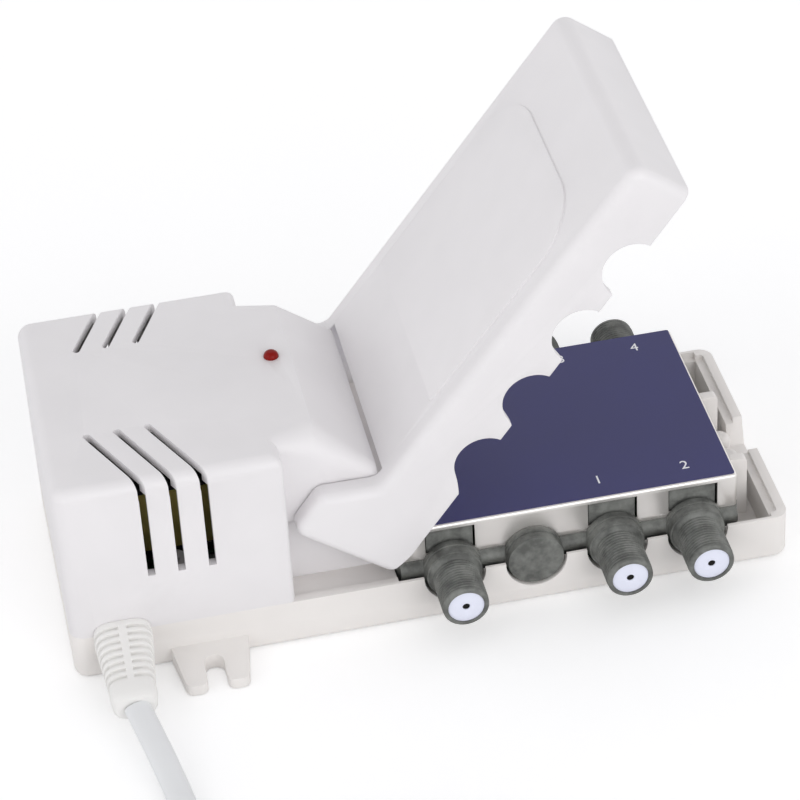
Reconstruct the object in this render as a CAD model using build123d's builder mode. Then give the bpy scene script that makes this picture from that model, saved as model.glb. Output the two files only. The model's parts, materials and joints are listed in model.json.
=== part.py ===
"""A mains-powered television signal amplifier: tray, power block, hinged lid and a module with F ports.

The frame is the part's own, in millimetres with +Z up. The origin is the middle of the tray's underside,
+X runs from the power block to the latch end, and -Y is the side that the mains lead leaves from.
The lid is built open, as it stands at rest.
"""
import os
from math import atan2, cos, degrees, hypot, pi, radians, sin, tan

from build123d import *

os.makedirs("parts", exist_ok=True)

# Tray
width = 59.0
tray_height = 10.4
wall = 2.0
floor = 2.0
corner_radius = 3.0
foot_round = 1.0
overrun = 1.0
fit_clearance = 0.3
shelf_height = 9.8

# Power block and the neck beside it
block_length = 45.0
case_height = 46.8
block_round = 2.6
block_right_round = 1.0
neck_top_length = 7.5
neck_length = 19.0
neck_foot_height = 36.4
neck_inset = 5.0
neck_lower_inset = 8.2
neck_lower_height = 27.0
neck_corner_start = 2.4
neck_corner_top = 6.0
neck_corner_foot = 2.2
inner_corner_share = 0.5

# Vents
vent_width = 1.5
vent_offsets = (17.4, 23.4, 29.5)
vent_reach_front = 17.0
vent_reach_back = 13.5
vent_lean_share = 0.48
vent_bottom = 23.5
vent_depth = 4.5

# Hinge and lid
lid_angle = 53.0
hinge_gap = 9.2
hinge_height = 30.8
pin_radius = 2.0
pin_clearance = 0.06
pin_reach = 1.8
arm_side_gap = 0.3
arm_back = 8.0
arm_top = 4.6
arm_flat = 1.9
arm_corner_radius = 2.6
arm_sweep_gap = 0.3
arm_boss_radius = 12.5
lid_seam_gap = 0.4
lid_round = 2.2
lid_inner_round = 3.0
lid_end_round = 3.0
plate_start = 11.0
plate_slope_start = 9.0
plate_near_height = 25.8
plate_far_height = 24.0
panel_start = 28.0
panel_end_gap = 16.1
panel_margin = 5.3
panel_corner = 12.0
panel_near_corner = 1.5
panel_raise = 0.5
scallop_radius = 6.1
scallop_lift = 0.3
scallop_swing_angle = 22.0

# Latch end of the tray
rebate_width = 1.6
rebate_depth = 1.2
notch_width = 12.0
notch_shift = -1.1
notch_flare = 2.4
notch_floor = 4.5
post_radius = 2.3
post_round = 1.4
post_height = 8.6
post_inset = 5.7
post_shifts = (-4.5, 1.7)
tab_thickness = 2.0
tab_width = 4.1
tab_height = 16.4
tab_shifts = (-16.6, 4.9)
tab_round = 1.0
lip_thickness = 0.7
lip_depth = 1.6

# Wall mounting ears
ear_near = 19.3
ear_length = 15.6
ear_reach = 10.6
ear_height = 4.0
ear_tip_height = 2.4
ear_slot_width = 4.0
ear_slot_start = 3.4
ear_tip_narrowing = 1.6
ear_tip_round = 1.6

# Amplifier module
module_gap = 21.4
module_length = 71.0
latch_gap = 9.6
frame_inset = 2.3
frame_base = 3.2
frame_top = 12.3
frame_wall = 3.2
frame_side_wall = 1.9
frame_bar_radius = 2.15
frame_bar_setback = 0.6
frame_floor = 1.4
frame_corner = 2.0
port_height = 10.1
port_near_inset = 11.1
port_far_inset = 9.65
port_count = 4
front_ports_used = (True, False, True, True)
back_ports_used = (False, False, True, True)
boss_radius = 6.0
boss_step_radius = 5.7
boss_face = 0.3
boss_back = 1.4
pillar_radius = 2.0
frame_hole_radius = 1.6
boss_clearance = 0.3
sleeve_radius = 4.76
sleeve_length = 10.5
sleeve_bore = 3.7
sleeve_seat = 1.6
sleeve_spigot_radius = 4.3
insulator_sink = 0.2
contact_radius = 0.75
contact_sink = 1.6
contact_tail = 2.0
cover_inset = 3.8
cover_height = 20.2
cover_sheet = 0.45
cover_round = 0.9
cover_end_gap = 0.3
cover_window_width = 10.2
cover_window_height = 5.6
cover_window_base = 13.4
label_margin = 0.5
label_left_margin = 3.6
label_corner = 0.5
label_thickness = 0.15
board_thickness = 1.6
rf_chip_size = (5.0, 4.0, 1.6)
rf_pitch = 20.0
rf_side = 13.0
rf_core_radius = 3.2
rf_core_bore = 1.3
rf_core_height = 4.0
rf_can_radius = 2.5
rf_can_height = 6.5
can_round = 0.6

# Power supply on its board
board_near = 5.0
board_end_gap = 2.0
board_inset = 12.0
board_base = 6.0
standoff_radius = 2.4
core_offset = 7.5
core_height = 27.0
core_front_gap = 0.8
core_back_gap = 3.3
core_limb_share = 1 / 6
bobbin_wall = 0.8
winding_gap = 0.3
winding_overhang = 5.0
winding_round = 2.0
capacitor_radius = 5.0
capacitor_height = 17.0
capacitor_end_gap = 3.0
capacitor_inset = 2.0
diode_radius = 1.3
diode_length = 4.6
diode_first = 12.0
diode_pitch = 7.5
diode_count = 4
diode_inset = 3.4
diode_lift = 1.0
fuse_radius = 2.5
fuse_length = 20.0
fuse_offset = 30.0
fuse_inset = 3.4
fuse_cap = 4.5
fuse_cap_wall = 0.3
regulator_gap = 3.7
regulator_width = 10.2
regulator_height = 15.0
regulator_tab = 1.3
regulator_body = 3.2
regulator_body_height = 9.0
sink_thickness = 1.5
sink_height = 24.0
sink_width = 16.0
led_offset = 3.6
led_shift = 3.5
led_radius = 1.5
led_flange_radius = 1.9
led_flange_height = 1.0
led_proud = 1.2
led_round = 1.1
led_clearance = 0.05
wire_radius = 0.3
led_wire_spacing = 1.27

# Case screws
screw_inset = 5.0
screw_near = 6.4
screw_past_lead = 22.0
screw_column = 3.2
screw_radius = 1.45
screw_hole_clearance = 0.05
screw_head_radius = 2.7
screw_head_depth = 2.2
screw_head_height = 1.8
screw_length = 16.0
screw_cross_length = 2.8
screw_cross_width = 0.7
screw_cross_depth = 1.0
screw_boss_height = 12.0

# Strain relief of the mains lead
lead_offset = 10.2
gland_height = 9.6
gland_width = 12.0
gland_thickness = 8.4
gland_end_width = 8.8
gland_end_thickness = 5.8
gland_neck_width = 9.6
gland_neck_thickness = 6.4
gland_neck_corner = 2.6
gland_flange_thickness = 1.8
gland_round_share = 0.45
gland_gap = 0.1

# Mains lead: a flat two-core cord, its route from the case's left front corner, and the put-away coil
cord_width = 5.4
cord_thickness = 3.4
arc_share = 0.45
cord_route = (
    (10.2, -18.5, 6.4),
    (10.6, -27.0, 4.75),
    (12.6, -40.0, 1.85),
    (15.9, -57.0, 1.85),
    (16.6, -75.0, 1.85),
    (16.6, -107.7, 1.85),
)
coil_pitch = 6.1
coil_layer = 4.2
coil_quarter_count = 29
coil_outer_radius = 41.0
coil_step_share = 0.01
coil_sample_share = 0.125
tail_run = 26.0
tail_straight = 8.0
wire_core_radius = 1.0
wire_core_spacing = 3.0
supply_wire_radius = 0.9
supply_wire_length = 8.4
terminal_width = 9.0
terminal_depth = 6.0
terminal_height = 8.0
terminal_inset = 1.0

# Plug
plug_length = 35.0
plug_width = 35.4
plug_thickness = 13.7
plug_tail_width = 12.0
plug_shoulder = 20.0
plug_round = 3.0
plug_edge_round = 2.0
plug_pin_radius = 2.0
plug_pin_length = 19.0
plug_pin_spacing = 18.6
plug_pin_seat = 4.0
plug_pin_tip = 1.0

# Places worked out from the sizes
length = block_length + module_gap + module_length + latch_gap
left = -length / 2
right = length / 2
front = -width / 2
back = width / 2
block_right = left + block_length
neck_top_right = block_right + neck_top_length
neck_right = block_right + neck_length
hinge_x = block_right + hinge_gap
module_left = block_right + module_gap
module_right = module_left + module_length
module_middle = (module_left + module_right) / 2
port_pitch = (module_length - port_near_inset - port_far_inset) / (port_count - 1)
port_places = [module_left + port_near_inset + port_pitch * i for i in range(port_count)]
board_left = left + board_near
board_right = neck_right - wall - board_end_gap
board_middle = (board_left + board_right) / 2
board_top = board_base + board_thickness
screw_places = [
    (left + screw_past_lead, front + screw_inset),
    (block_right - screw_inset, front + screw_inset),
    (left + screw_near, back - screw_inset),
    (block_right - screw_inset, back - screw_inset),
]
lead_x = left + lead_offset


def finish(piece, label):
    """Name a finished sub-part and write its STEP file."""
    piece.part.label = label
    export_step(piece.part, f"parts/{label}.step")


def box_between(low, high, mode=Mode.ADD):
    """Add or cut a box given by its lowest and highest corners."""
    size = [b - a for a, b in zip(low, high)]
    with Locations(tuple(low)):
        Box(*size, align=(Align.MIN, Align.MIN, Align.MIN), mode=mode)


# A wall mounting ear: two legs round a screw slot that is open at its tip
ear_middle = left + ear_near + ear_length / 2
with BuildPart() as ear:
    with BuildSketch(Plane.XY):
        with BuildLine():
            Polyline(
                (ear_middle - ear_length / 2, front + wall),
                (ear_middle - ear_length / 2, front),
                (ear_middle - ear_length / 2 + ear_tip_narrowing, front - ear_reach),
                (ear_middle + ear_length / 2 - ear_tip_narrowing, front - ear_reach),
                (ear_middle + ear_length / 2, front),
                (ear_middle + ear_length / 2, front + wall),
                close=True,
            )
        make_face()
        with BuildLine(mode=Mode.PRIVATE) as slot_line:
            Line((ear_middle, front - ear_slot_start - ear_slot_width / 2),
                 (ear_middle, front - ear_reach - ear_slot_width))
        SlotArc(slot_line.edge(), ear_slot_width, mode=Mode.SUBTRACT)
        fillet(vertices().group_by(Axis.Y)[0], ear_tip_round)
    extrude(amount=ear_height)
    with BuildSketch(Plane.YZ.offset(ear_middle)):
        with BuildLine():
            Polyline(
                (front, ear_height),
                (front - ear_reach, ear_tip_height),
                (front - ear_reach - overrun, ear_tip_height),
                (front - ear_reach - overrun, ear_height + overrun),
                (front, ear_height + overrun),
                close=True,
            )
        make_face()
    extrude(amount=ear_length, both=True, mode=Mode.SUBTRACT)

# The open tray that carries everything
with BuildPart() as base_tray:
    with BuildSketch(Plane.XY):
        RectangleRounded(length, width, corner_radius)
    extrude(amount=tray_height)
    fillet(base_tray.faces().sort_by(Axis.Z)[0].edges(), foot_round)
    with BuildSketch(Plane.XY.offset(floor)):
        RectangleRounded(length - 2 * wall, width - 2 * wall, corner_radius - wall)
    extrude(amount=tray_height, mode=Mode.SUBTRACT)
    # The latch end is thicker, with a rebate along its inner edge
    box_between((right - wall - rebate_width, front + wall, floor),
                (right - wall, back - wall, tray_height - rebate_depth))
    # Shelves beside the neck, which carry its lower walls
    for shelf_y in (front + wall, back - wall - neck_lower_inset):
        box_between((block_right - wall, shelf_y, floor),
                    (module_left - fit_clearance, shelf_y + neck_lower_inset, shelf_height))
    # Columns that the case screws pass through
    with BuildSketch(Plane.XY.offset(floor)):
        with Locations(*screw_places):
            Circle(screw_column)
    extrude(amount=tray_height - floor)
    # Standoffs under the power board
    with BuildSketch(Plane.XY.offset(floor)):
        with Locations((board_middle, 0)):
            with GridLocations(board_right - board_left - 2 * standoff_radius,
                               width - 2 * board_inset - 2 * standoff_radius, 2, 2):
                Circle(standoff_radius)
    extrude(amount=board_base - floor)
    # The notch for a finger in the latch end, flared at its mouth
    with BuildSketch(Plane.YZ.offset(right + overrun)):
        with BuildLine():
            Polyline(
                (notch_shift - notch_width / 2 + notch_flare, notch_floor),
                (notch_shift + notch_width / 2 - notch_flare, notch_floor),
                (notch_shift + notch_width / 2, tray_height + overrun),
                (notch_shift - notch_width / 2, tray_height + overrun),
                close=True,
            )
        make_face()
    extrude(amount=-(wall + rebate_width + 2 * overrun), mode=Mode.SUBTRACT)
    # Half of each scallop that the port bosses pass through
    for face_y, outward in ((front, -1), (back, 1)):
        with BuildSketch(Plane.XZ.offset(-face_y - outward * overrun)):
            with Locations(*[(x, port_height) for x in port_places]):
                Circle(boss_radius + boss_clearance)
        extrude(amount=outward * (wall + 2 * overrun), mode=Mode.SUBTRACT)
    # Two round latch posts behind the notch
    with BuildSketch(Plane.XY.offset(floor)):
        with Locations(*[(right - post_inset, y) for y in post_shifts]):
            Circle(post_radius)
    extrude(amount=post_height - floor)
    fillet(
        base_tray.edges().filter_by(GeomType.CIRCLE)
        .filter_by_position(Axis.Z, post_height, post_height)
        .filter_by_position(Axis.X, right - post_inset - post_radius, right),
        post_round,
    )
    # Two latch tabs that stand beside the module's end
    tab_middle = module_right + fit_clearance + tab_width / 2
    for tab_y in tab_shifts:
        with BuildSketch(Plane.XZ.offset(-tab_y)):
            with Locations((tab_middle, (floor + tab_height) / 2)):
                Rectangle(tab_width, tab_height - floor)
            fillet(vertices().group_by(Axis.Y)[-1], tab_round)
        extrude(amount=-tab_thickness)
    # The long walls thin to a lip beside the module
    lip_cut = wall - lip_thickness + overrun
    for cut_y in (front + lip_thickness, back - wall - overrun):
        box_between((module_left - fit_clearance, cut_y, tray_height - lip_depth),
                    (right - wall - rebate_width, cut_y + lip_cut, tray_height + overrun), mode=Mode.SUBTRACT)
    # Wall mounting ears on both long sides
    add(ear.part)
    add(mirror(ear.part, about=Plane.XZ))
    # The opening that the mains lead's strain relief sits in
    with BuildSketch(Plane.XZ.offset(width / 2 + overrun)):
        with Locations((lead_x, gland_height)):
            RectangleRounded(gland_neck_width, gland_neck_thickness, gland_neck_corner)
    extrude(amount=-(wall + 2 * overrun), mode=Mode.SUBTRACT)
    # Clearance holes and head recesses for the case screws
    with BuildSketch(Plane.XY):
        with Locations(*screw_places):
            Circle(screw_radius + fit_clearance)
    extrude(amount=tray_height, mode=Mode.SUBTRACT)
    with BuildSketch(Plane.XY):
        with Locations(*screw_places):
            Circle(screw_head_radius + fit_clearance)
    extrude(amount=screw_head_depth, mode=Mode.SUBTRACT)
finish(base_tray, "base_tray")

# Sections of the neck: place along X, height of the top and radius of its long edges
neck_slope = atan2(case_height - neck_foot_height, neck_length - neck_top_length)
neck_sections = (
    (block_right - block_round, case_height, neck_corner_start),
    (neck_top_right, case_height, neck_corner_top),
    (neck_right, neck_foot_height, neck_corner_foot),
)
slope_thickness = wall / cos(neck_slope)
neck_hollow_sections = (
    (block_right - wall - overrun, case_height - wall, neck_corner_start * inner_corner_share),
    (neck_top_right - (slope_thickness - wall) / tan(neck_slope), case_height - wall,
     neck_corner_top * inner_corner_share),
    (neck_right - wall, neck_foot_height + wall * tan(neck_slope) - slope_thickness,
     neck_corner_foot * inner_corner_share),
)


def neck_section(place, bottom, top, inset, corner):
    """Sketch one section of the neck across X, with its two upper corners rounded."""
    with BuildSketch(Plane.YZ.offset(place)) as section:
        with Locations((0, (bottom + top) / 2)):
            Rectangle(width - 2 * inset, top - bottom)
        fillet(vertices().group_by(Axis.Y)[-1], corner)
    add(section.sketch)


# The upper case: power block and neck as one shell
with BuildPart() as power_housing:
    with BuildSketch(Plane.XY.offset(tray_height)):
        with Locations(((left + block_right) / 2, 0)):
            Rectangle(block_length, width)
        fillet(vertices().group_by(Axis.X)[0], corner_radius)
        fillet(vertices().group_by(Axis.X)[-1], block_right_round)
    extrude(amount=case_height - tray_height)
    fillet(power_housing.faces().sort_by(Axis.Z)[-1].edges(), block_round)
    for place, top, corner in neck_sections:
        neck_section(place, neck_lower_height, top, neck_inset, corner)
    loft(ruled=True)
    box_between((block_right - wall, front + neck_lower_inset, shelf_height),
                (neck_right, back - neck_lower_inset, neck_lower_height + wall))
    # Hollow inside, leaving the walls
    box_between((left + wall, front + wall, tray_height - overrun),
                (block_right - wall, back - wall, case_height - wall), mode=Mode.SUBTRACT)
    for place, top, corner in neck_hollow_sections:
        neck_section(place, neck_lower_height + wall, top, neck_inset + wall, corner)
    loft(ruled=True, mode=Mode.SUBTRACT)
    box_between((block_right - wall - overrun, front + neck_lower_inset + wall, shelf_height - overrun),
                (neck_right - wall, back - neck_lower_inset - wall, neck_lower_height + 2 * wall),
                mode=Mode.SUBTRACT)
    # Bosses for the case screws
    with BuildSketch(Plane.XY.offset(tray_height)):
        with Locations(*screw_places):
            Circle(screw_column)
            Circle(screw_radius + screw_hole_clearance, mode=Mode.SUBTRACT)
    extrude(amount=screw_boss_height)
    # Sockets for the lid's hinge pins
    with BuildSketch(Plane.XZ):
        with Locations((hinge_x, hinge_height)):
            Circle(pin_radius + pin_clearance)
    extrude(amount=width / 2, both=True, mode=Mode.SUBTRACT)
    # Vents that lean across the top, run over the long edges and drop down the sides
    for face_y, inward, reach in ((front, 1, vent_reach_front), (back, -1, vent_reach_back)):
        for offset in vent_offsets:
            vent_x = left + offset
            with BuildLine(mode=Mode.PRIVATE) as vent_line:
                Line((vent_x, face_y), (vent_x - reach * vent_lean_share, face_y + inward * reach))
            with BuildSketch(Plane.XY.offset(case_height + overrun)):
                SlotArc(vent_line.edge(), vent_width)
            extrude(amount=-(vent_depth + overrun), mode=Mode.SUBTRACT)
            vent_span = sorted((face_y - inward * overrun, face_y + inward * vent_depth))
            box_between((vent_x - vent_width / 2, vent_span[0], vent_bottom),
                        (vent_x + vent_width / 2, vent_span[1], case_height - vent_depth + overrun),
                        mode=Mode.SUBTRACT)
    # Hole for the light
    with BuildSketch(Plane.XY.offset(case_height + overrun)):
        with Locations((block_right + led_offset, led_shift)):
            Circle(led_radius + led_clearance)
    extrude(amount=-(wall + 2 * overrun), mode=Mode.SUBTRACT)
    # The upper part of the opening for the strain relief
    with BuildSketch(Plane.XZ.offset(width / 2 + overrun)):
        with Locations((lead_x, gland_height)):
            RectangleRounded(gland_neck_width, gland_neck_thickness, gland_neck_corner)
    extrude(amount=-(wall + 2 * overrun), mode=Mode.SUBTRACT)
finish(power_housing, "power_housing")

# The lid is drawn shut, with the hinge axis as its zero, on a plane that is turned to the open angle
turn = radians(lid_angle)
lid_side = Plane(origin=(hinge_x, 0, hinge_height), x_dir=(cos(turn), 0, sin(turn)), z_dir=(0, -1, 0))
lid_end = right - hinge_x
panel_end = lid_end - panel_end_gap
lid_bottom = tray_height + lid_seam_gap - hinge_height
lid_deep = lid_bottom - lid_round - overrun
arm_sweep = hinge_height - tray_height - arm_sweep_gap
arm_inner = width / 2 - neck_inset + arm_side_gap
plate_near = plate_near_height - hinge_height
plate_far = plate_far_height - hinge_height
plate_tilt = atan2(plate_far - plate_near, lid_end - plate_slope_start)
# Where the arm's round foot touches its back edge, its sweep and the lid's lower edge
foot_level = -(((arm_sweep - arm_corner_radius) ** 2 - (arm_back - arm_corner_radius) ** 2) ** 0.5)
foot_share = arm_sweep / (arm_sweep - arm_corner_radius)
foot_end = ((arm_corner_radius - arm_back) * foot_share, foot_level * foot_share)
sweep_end = (-((arm_sweep**2 - lid_bottom**2) ** 0.5), lid_bottom)
sweep_start_angle = degrees(atan2(foot_end[1], foot_end[0]))
sweep_angle = degrees(atan2(sweep_end[1], sweep_end[0])) - sweep_start_angle


def plate_level(along):
    """Height of the plate's upper face over the hinge axis, at a distance along the lid."""
    return plate_near + (along - plate_slope_start) * tan(plate_tilt)


def lid_point(along, over):
    """A place on the open lid, from its distance along the lid and over the hinge axis."""
    return (hinge_x + along * cos(turn) - over * sin(turn), 0,
            hinge_height + along * sin(turn) + over * cos(turn))


inside_outline = (
    (-arm_back - overrun, lid_deep),
    (lid_end - wall, lid_deep),
    (lid_end - wall, plate_level(lid_end - wall) - wall),
    (plate_start, plate_level(plate_start) - wall),
    (plate_start, arm_top + overrun),
    (-arm_back - overrun, arm_top + overrun),
)
with BuildPart() as lid:
    with BuildSketch(lid_side):
        with BuildLine():
            Polyline(
                (-arm_back, lid_deep),
                (lid_end, lid_deep),
                (lid_end, plate_far),
                (plate_slope_start, plate_near),
                (arm_flat, arm_top),
                (-arm_back, arm_top),
                close=True,
            )
        make_face()
        fillet(vertices().sort_by_distance((-arm_back, arm_top))[0], arm_corner_radius)
        fillet(vertices().sort_by_distance((arm_flat, arm_top))[0], arm_corner_radius)
        fillet(vertices().sort_by_distance((plate_slope_start, plate_near))[0], lid_inner_round)
        fillet(vertices().sort_by_distance((lid_end, plate_far))[0], lid_end_round)
    extrude(amount=width / 2, both=True)
    fillet(lid.faces().sort_by(Axis.Y)[0].edges() + lid.faces().sort_by(Axis.Y)[-1].edges(), lid_round)
    # The arms' round feet and the lower edge
    with BuildSketch(lid_side):
        with BuildLine():
            TangentArc((-arm_back, foot_level), foot_end, tangent=(0, -1))
            CenterArc((0, 0), arm_sweep, sweep_start_angle, sweep_angle)
            Polyline(
                sweep_end,
                (lid_end + overrun, lid_bottom),
                (lid_end + overrun, lid_deep - overrun),
                (-arm_back - overrun, lid_deep - overrun),
                (-arm_back - overrun, foot_level),
                (-arm_back, foot_level),
            )
        make_face()
    extrude(amount=width, both=True, mode=Mode.SUBTRACT)
    # Hollow under the plate, and open between the arms
    with BuildSketch(lid_side):
        with BuildLine():
            Polyline(*inside_outline, close=True)
        make_face()
        Circle(arm_boss_radius, mode=Mode.SUBTRACT)
    extrude(amount=width / 2 - wall, both=True, mode=Mode.SUBTRACT)
    with BuildSketch(lid_side):
        with BuildLine():
            Polyline(*inside_outline, close=True)
        make_face()
    extrude(amount=arm_inner, both=True, mode=Mode.SUBTRACT)
    # Scallops that follow the lid's swing round the port bosses
    with BuildSketch(lid_side):
        for port_x in port_places:
            along = port_x - hinge_x
            over = port_height + scallop_lift - hinge_height
            with BuildLine(mode=Mode.PRIVATE) as swing_line:
                CenterArc((0, 0), hypot(along, over), degrees(atan2(over, along)), -scallop_swing_angle)
            SlotArc(swing_line.edge(), 2 * scallop_radius)
    extrude(amount=width, both=True, mode=Mode.SUBTRACT)
    # Hinge pins
    for side in (1, -1):
        with BuildSketch(lid_side.offset(side * arm_inner)):
            Circle(pin_radius)
        extrude(amount=-side * (arm_side_gap + pin_reach))
    # The raised panel on the plate
    panel_middle = (panel_start + panel_end) / 2
    panel_turn = turn + plate_tilt
    with BuildSketch(Plane(
        origin=lid_point(panel_middle, plate_level(panel_middle) - wall / 2),
        x_dir=(cos(panel_turn), 0, sin(panel_turn)),
        z_dir=(-sin(panel_turn), 0, cos(panel_turn)),
    )):
        Rectangle(panel_end - panel_start, width - 2 * panel_margin)
        fillet(vertices().group_by(Axis.X)[-1], panel_corner)
        fillet(vertices().group_by(Axis.X)[0], panel_near_corner)
    extrude(amount=wall / 2 + panel_raise)
finish(lid, "lid")

# Amplifier module: die-cast frame with a boss at every port place
frame_half = width / 2 - frame_inset
frame_inside = frame_half - frame_wall
frame_face = frame_inside + frame_side_wall
cover_half = width / 2 - cover_inset
window_block_face = cover_half - cover_sheet - fit_clearance
window_block_top = cover_window_base + cover_window_height
rf_board_top = port_height - contact_radius
rf_board_base = rf_board_top - board_thickness
module_half_length = module_length / 2
live_ports = [(x, -1) for x, used in zip(port_places, front_ports_used) if used]
live_ports += [(x, 1) for x, used in zip(port_places, back_ports_used) if used]
boss_end = width / 2 - boss_face
pillar_reach = module_half_length - frame_wall - fit_clearance - pillar_radius
with BuildPart() as module_frame:
    with BuildSketch(Plane.XY.offset(frame_base)):
        with Locations((module_middle, 0)):
            RectangleRounded(module_length, 2 * frame_face, frame_corner)
    extrude(amount=frame_top - frame_base)
    # A round bar along each side, from boss to boss
    with BuildSketch(Plane.YZ.offset(module_left + frame_bar_setback)):
        with Locations(*[(outward * (frame_half - frame_bar_radius), port_height) for outward in (-1, 1)]):
            Circle(frame_bar_radius)
    extrude(amount=module_length - 2 * frame_bar_setback)
    with BuildSketch(Plane.XY.offset(frame_base + frame_floor)):
        with Locations((module_middle, 0)):
            Rectangle(module_length - 2 * frame_wall, 2 * frame_inside)
    extrude(amount=frame_top - frame_base, mode=Mode.SUBTRACT)
    for outward in (-1, 1):
        with BuildSketch(Plane.XZ.offset(-outward * (frame_half - boss_back))):
            with Locations(*[(x, port_height) for x in port_places]):
                Circle(boss_radius)
        extrude(amount=-outward * boss_back)
        with BuildSketch(Plane.XZ.offset(-outward * (frame_half - boss_back))):
            with Locations(*[(x, port_height) for x in port_places]):
                Circle(boss_step_radius)
        extrude(amount=-outward * (boss_end - frame_half + boss_back))
    # Blocks of the casting that show in the cover's windows
    for port_x, outward in live_ports:
        block_span = sorted((outward * frame_inside, outward * window_block_face))
        box_between((port_x - cover_window_width / 2 + fit_clearance, block_span[0], frame_top - overrun),
                    (port_x + cover_window_width / 2 - fit_clearance, block_span[1], window_block_top))
    # Pillars under the board
    with BuildSketch(Plane.XY.offset(frame_base)):
        with Locations((module_middle, 0)):
            with GridLocations(2 * pillar_reach, 2 * (frame_inside - fit_clearance - pillar_radius), 2, 2):
                Circle(pillar_radius)
    extrude(amount=rf_board_base - frame_base)
    # Seats of the threaded sleeves and holes for their contacts
    for port_x, outward in live_ports:
        with BuildSketch(Plane.XZ.offset(-outward * (boss_end + overrun))):
            with Locations((port_x, port_height)):
                Circle(sleeve_spigot_radius)
        extrude(amount=outward * (sleeve_seat + overrun), mode=Mode.SUBTRACT)
        with BuildSketch(Plane.XZ.offset(-outward * (boss_end + overrun))):
            with Locations((port_x, port_height)):
                Circle(frame_hole_radius)
        extrude(amount=outward * (boss_end - frame_inside + 2 * overrun), mode=Mode.SUBTRACT)
finish(module_frame, "module_frame")

# The coaxial ports, each a sleeve on a spigot, with an insulator and a contact
sleeve_end = boss_end + sleeve_length
with BuildPart() as port_sleeves:
    for port_x, outward in live_ports:
        with BuildSketch(Plane.XZ.offset(-outward * (boss_end - sleeve_seat))):
            with Locations((port_x, port_height)):
                Circle(sleeve_spigot_radius)
                Circle(sleeve_bore, mode=Mode.SUBTRACT)
        extrude(amount=-outward * sleeve_seat)
        with BuildSketch(Plane.XZ.offset(-outward * boss_end)):
            with Locations((port_x, port_height)):
                Circle(sleeve_radius)
                Circle(sleeve_bore, mode=Mode.SUBTRACT)
        extrude(amount=-outward * sleeve_length)
finish(port_sleeves, "port_sleeves")

with BuildPart() as port_insulators:
    for port_x, outward in live_ports:
        with BuildSketch(Plane.XZ.offset(-outward * (boss_end - sleeve_seat))):
            with Locations((port_x, port_height)):
                Circle(sleeve_bore)
                Circle(contact_radius, mode=Mode.SUBTRACT)
        extrude(amount=-outward * (sleeve_length + sleeve_seat - insulator_sink))
finish(port_insulators, "port_insulators")

with BuildPart() as port_contacts:
    for port_x, outward in live_ports:
        with BuildSketch(Plane.XZ.offset(-outward * (frame_inside - contact_tail))):
            with Locations((port_x, port_height)):
                Circle(contact_radius)
        extrude(amount=-outward * (sleeve_end - contact_sink - frame_inside + contact_tail))
finish(port_contacts, "port_contacts")

# Tinned cover of the module, with a window over every port in use
cover_length = module_length - 2 * cover_end_gap
with BuildPart() as module_cover:
    with BuildSketch(Plane.XY.offset(frame_top)):
        with Locations((module_middle, 0)):
            RectangleRounded(cover_length, 2 * cover_half, cover_round)
    extrude(amount=cover_height - frame_top)
    fillet(module_cover.faces().sort_by(Axis.Z)[-1].edges(), cover_round - cover_sheet / 2)
    box_between(
        (module_middle - cover_length / 2 + cover_sheet, -cover_half + cover_sheet, frame_top - overrun),
        (module_middle + cover_length / 2 - cover_sheet, cover_half - cover_sheet,
         cover_height - cover_sheet), mode=Mode.SUBTRACT)
    for port_x, outward in live_ports:
        window = sorted((outward * (cover_half + overrun), outward * (cover_half - cover_sheet - overrun)))
        box_between((port_x - cover_window_width / 2, window[0], cover_window_base),
                    (port_x + cover_window_width / 2, window[1], cover_window_base + cover_window_height),
                    mode=Mode.SUBTRACT)
finish(module_cover, "module_cover")

with BuildPart() as cover_label:
    with BuildSketch(Plane.XY.offset(cover_height)):
        with Locations((module_middle + (label_left_margin - label_margin) / 2, 0)):
            RectangleRounded(cover_length - label_left_margin - label_margin,
                             2 * (cover_half - label_margin), label_corner)
    extrude(amount=label_thickness)
finish(cover_label, "cover_label")

# Amplifier board and the parts on it
with BuildPart() as rf_board:
    with BuildSketch(Plane.XY.offset(rf_board_base)):
        with Locations((module_middle, 0)):
            Rectangle(module_length - 2 * (frame_wall + fit_clearance), 2 * (frame_inside - fit_clearance))
    extrude(amount=board_thickness)
finish(rf_board, "rf_board")

with BuildPart() as rf_chips:
    with Locations((module_middle, 0, rf_board_top)):
        with GridLocations(rf_pitch, 2 * rf_side, 3, 2):
            Box(*rf_chip_size, align=(Align.CENTER, Align.CENTER, Align.MIN))
finish(rf_chips, "rf_chips")

with BuildPart() as rf_coil_cores:
    with BuildSketch(Plane.XY.offset(rf_board_top)):
        with Locations((module_middle, 0)):
            with GridLocations(rf_pitch, rf_pitch, 3, 1):
                Circle(rf_core_radius)
                Circle(rf_core_bore, mode=Mode.SUBTRACT)
    extrude(amount=rf_core_height)
finish(rf_coil_cores, "rf_coil_cores")

with BuildPart() as rf_capacitors:
    with BuildSketch(Plane.XY.offset(rf_board_top)):
        with Locations((module_middle, 0)):
            with GridLocations(rf_pitch, 2 * rf_side, 2, 2):
                Circle(rf_can_radius)
    extrude(amount=rf_can_height)
    fillet(rf_capacitors.faces().group_by(Axis.Z)[-1].edges(), can_round)
finish(rf_capacitors, "rf_capacitors")

# Power supply board and its parts
with BuildPart() as power_board:
    box_between((board_left, front + board_inset, board_base), (board_right, back - board_inset, board_top))
finish(power_board, "power_board")

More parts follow.
